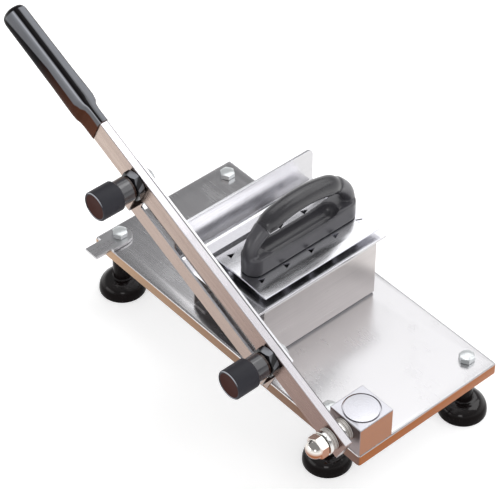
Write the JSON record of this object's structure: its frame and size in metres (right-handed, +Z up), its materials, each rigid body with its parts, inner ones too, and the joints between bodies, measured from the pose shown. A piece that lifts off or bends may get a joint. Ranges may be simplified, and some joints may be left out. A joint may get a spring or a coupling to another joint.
{
  "type": "frozen meat slicer",
  "caption": "Hand-levered slicer for frozen meat rolls: sheet base on suction feet, raised table with fence, sprung pivot arm with blade, knob-set thickness plate, loose pusher.",
  "frame": {"origin": "centre of the whole slicer's box, at the height of the bench that the feet stand on", "axes": "+X from the handle end of the base to the pivot end, +Y the way the table runs back from the blade, away from the knobs, +Z up"},
  "size_m": [0.454, 0.2346, 0.2936],
  "materials": {
    "sheet_steel": "brushed stainless sheet",
    "polished_steel": "finely brushed, half mirror",
    "blade_steel": "ground",
    "zinc_fixings": "bright zinc",
    "pivot_steel": "turned steel",
    "bright_nut": "mirror plated",
    "alloy_block": "fine satin",
    "brass_inserts": "turned",
    "black_knobs": "fine matte",
    "black_grips": "satin gloss",
    "black_rubber": "smooth rubber"
  },
  "bodies": {
    "root": {"base_plate": "sheet_steel", "block_cap": "alloy_block", "block_screw_1": "zinc_fixings", "block_screw_2": "zinc_fixings", "foot_bolt_1": "zinc_fixings", "foot_bolt_2": "zinc_fixings", "foot_bolt_3": "zinc_fixings", "foot_bolt_4": "zinc_fixings", "foot_insert_1": "zinc_fixings", "foot_insert_2": "zinc_fixings", "foot_insert_3": "zinc_fixings", "foot_insert_4": "zinc_fixings", "inner_disc_spring_1": "pivot_steel", "inner_disc_spring_2": "pivot_steel", "inner_disc_spring_3": "pivot_steel", "inner_disc_spring_4": "pivot_steel", "inner_thrust_ring": "pivot_steel", "meat_table": "polished_steel", "outer_disc_spring_1": "pivot_steel", "outer_disc_spring_2": "pivot_steel", "outer_disc_spring_3": "pivot_steel", "outer_disc_spring_4": "pivot_steel", "outer_thrust_ring": "pivot_steel", "pivot_block": "alloy_block", "pivot_dome_nut": "bright_nut", "pivot_stud": "pivot_steel", "riser_nut_1": "zinc_fixings", "riser_nut_2": "zinc_fixings", "riser_nut_3": "zinc_fixings", "riser_nut_4": "zinc_fixings", "riser_screw_1": "zinc_fixings", "riser_screw_2": "zinc_fixings", "riser_screw_3": "zinc_fixings", "riser_screw_4": "zinc_fixings", "stop_strap": "sheet_steel", "suction_foot_1": "black_rubber", "suction_foot_2": "black_rubber", "suction_foot_3": "black_rubber", "suction_foot_4": "black_rubber", "table_riser": "sheet_steel"},
    "arm": {"lever_bar": "polished_steel", "pivot_bush": "brass_inserts", "lever_handle": "black_grips", "blade": "blade_steel", "upper_adjuster_bolt": "zinc_fixings", "lower_adjuster_bolt": "zinc_fixings", "upper_clamp_nut": "black_knobs", "lower_clamp_nut": "black_knobs"},
    "thickness_plate": {"thickness_plate": "sheet_steel"},
    "upper_knob": {"upper_knob": "black_knobs", "upper_knob_insert": "brass_inserts", "upper_knob_clip": "pivot_steel"},
    "lower_knob": {"lower_knob": "black_knobs", "lower_knob_insert": "brass_inserts", "lower_knob_clip": "pivot_steel"},
    "pusher": {"pusher_plate": "polished_steel", "pusher_handle": "black_grips", "pusher_grip": "black_grips", "pusher_screw_1": "zinc_fixings", "pusher_screw_2": "zinc_fixings"}
  },
  "joints": [
    {"name": "arm_pivot", "type": "hinge", "parent": "root", "child": "arm", "pos_m": [0.20603, -0.05425, 0.084], "axis": [0, 1, 0], "range_deg": [-25.5, 65]},
    {"name": "thickness_slide", "type": "slide", "parent": "arm", "child": "thickness_plate", "axis": [0, -1, 0], "range_m": [-0.0005, 0.012]},
    {"name": "upper_knob_spin", "type": "hinge", "parent": "thickness_plate", "child": "upper_knob", "pos_m": [-0.04502, -0.05425, 0.20106], "axis": [0, -1, 0], "range_deg": [-144.1, 3456.1]},
    {"name": "lower_knob_spin", "type": "hinge", "parent": "thickness_plate", "child": "lower_knob", "pos_m": [0.12971, -0.05425, 0.11958], "axis": [0, -1, 0], "range_deg": [-144.1, 3456.1]},
    {"name": "pusher_feed", "type": "slide", "parent": "root", "child": "pusher", "axis": [0, 1, 0], "range_m": [-0.016, 0.055]}
  ],
  "couplings": [
    {"joint": "upper_knob_spin", "follows": "thickness_slide", "rad_per_m": 5026.5},
    {"joint": "lower_knob_spin", "follows": "thickness_slide", "rad_per_m": 5026.5}
  ]
}
